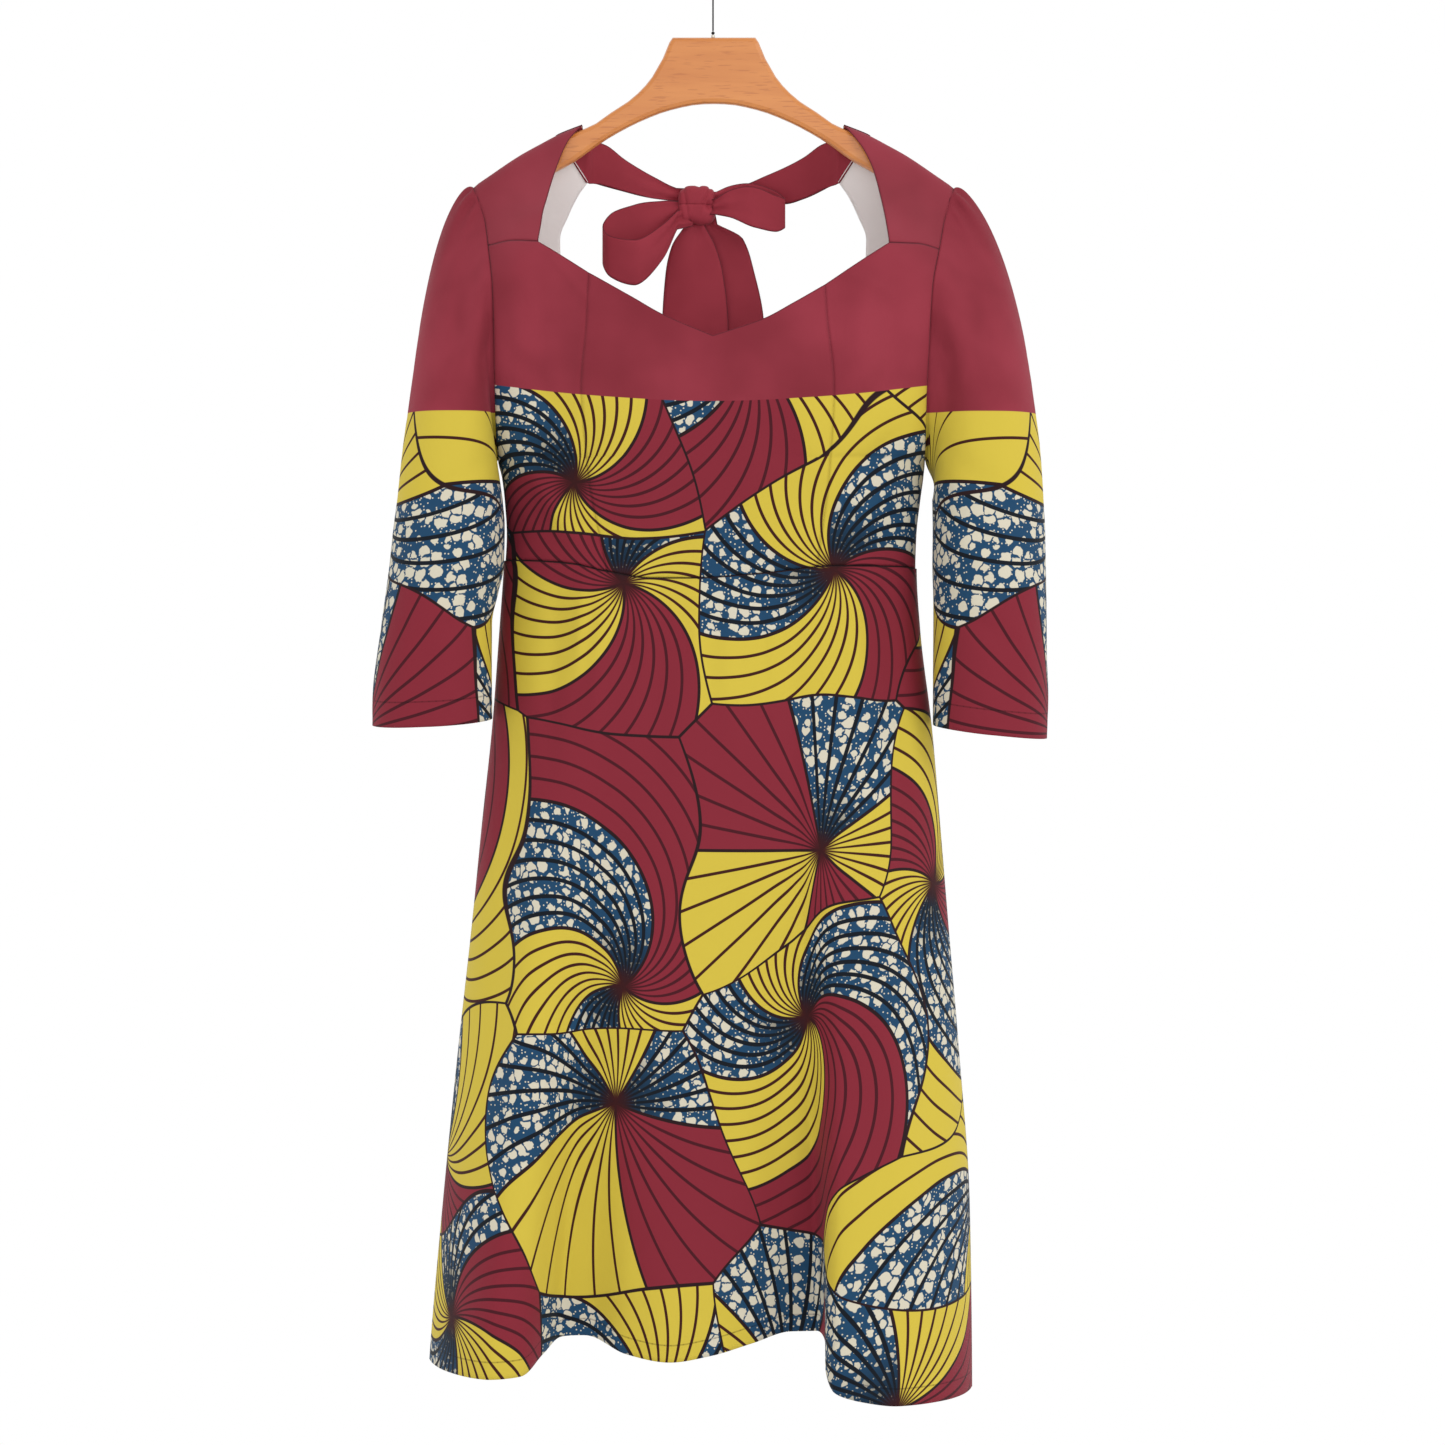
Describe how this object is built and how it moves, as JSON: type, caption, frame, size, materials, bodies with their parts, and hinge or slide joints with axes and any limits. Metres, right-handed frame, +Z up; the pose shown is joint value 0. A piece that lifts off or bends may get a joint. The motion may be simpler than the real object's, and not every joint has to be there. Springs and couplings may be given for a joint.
{
  "type": "ankara wax print dress on a hanger",
  "caption": "Knee-length wax print dress with three-quarter sleeves, a sweetheart neck and a tied open back, hung on a flat wooden hanger from a thin cord.",
  "frame": {"origin": "the inner top of the cord loop, where whatever holds the hanger up carries it", "axes": "+Z up along the cord, +X to the right as seen from the front, the front of the dress faces -Y"},
  "size_m": [0.5211, 0.2135, 1.1102],
  "materials": {
    "print_cloth": "printed cotton, matt",
    "plain_cloth": "plain dyed cotton, soft sheen",
    "hanger_wood": "varnished",
    "eye_metal": "satin",
    "cord": "twisted cotton, matt"
  },
  "bodies": {
    "root": {"front_centre": "print_cloth", "front_side_left": "print_cloth", "front_side_right": "print_cloth", "front_yoke_left": "plain_cloth", "front_yoke_right": "plain_cloth", "bodice_back": "print_cloth", "sleeve_left": "print_cloth", "sleeve_right": "print_cloth", "skirt_front": "print_cloth", "skirt_back": "print_cloth", "neck_tie_left": "plain_cloth", "neck_tie_right": "plain_cloth", "bow_knot": "plain_cloth", "bow_loop_left": "plain_cloth", "bow_loop_right": "plain_cloth", "bow_tail_left": "plain_cloth", "bow_tail_right": "plain_cloth", "hanger_board": "hanger_wood", "hanger_eye": "eye_metal", "cord_knot_at_eye": "cord", "hanging_cord": "cord", "cord_knot_at_loop": "cord", "cord_loop": "cord"}
  },
  "joints": []
}
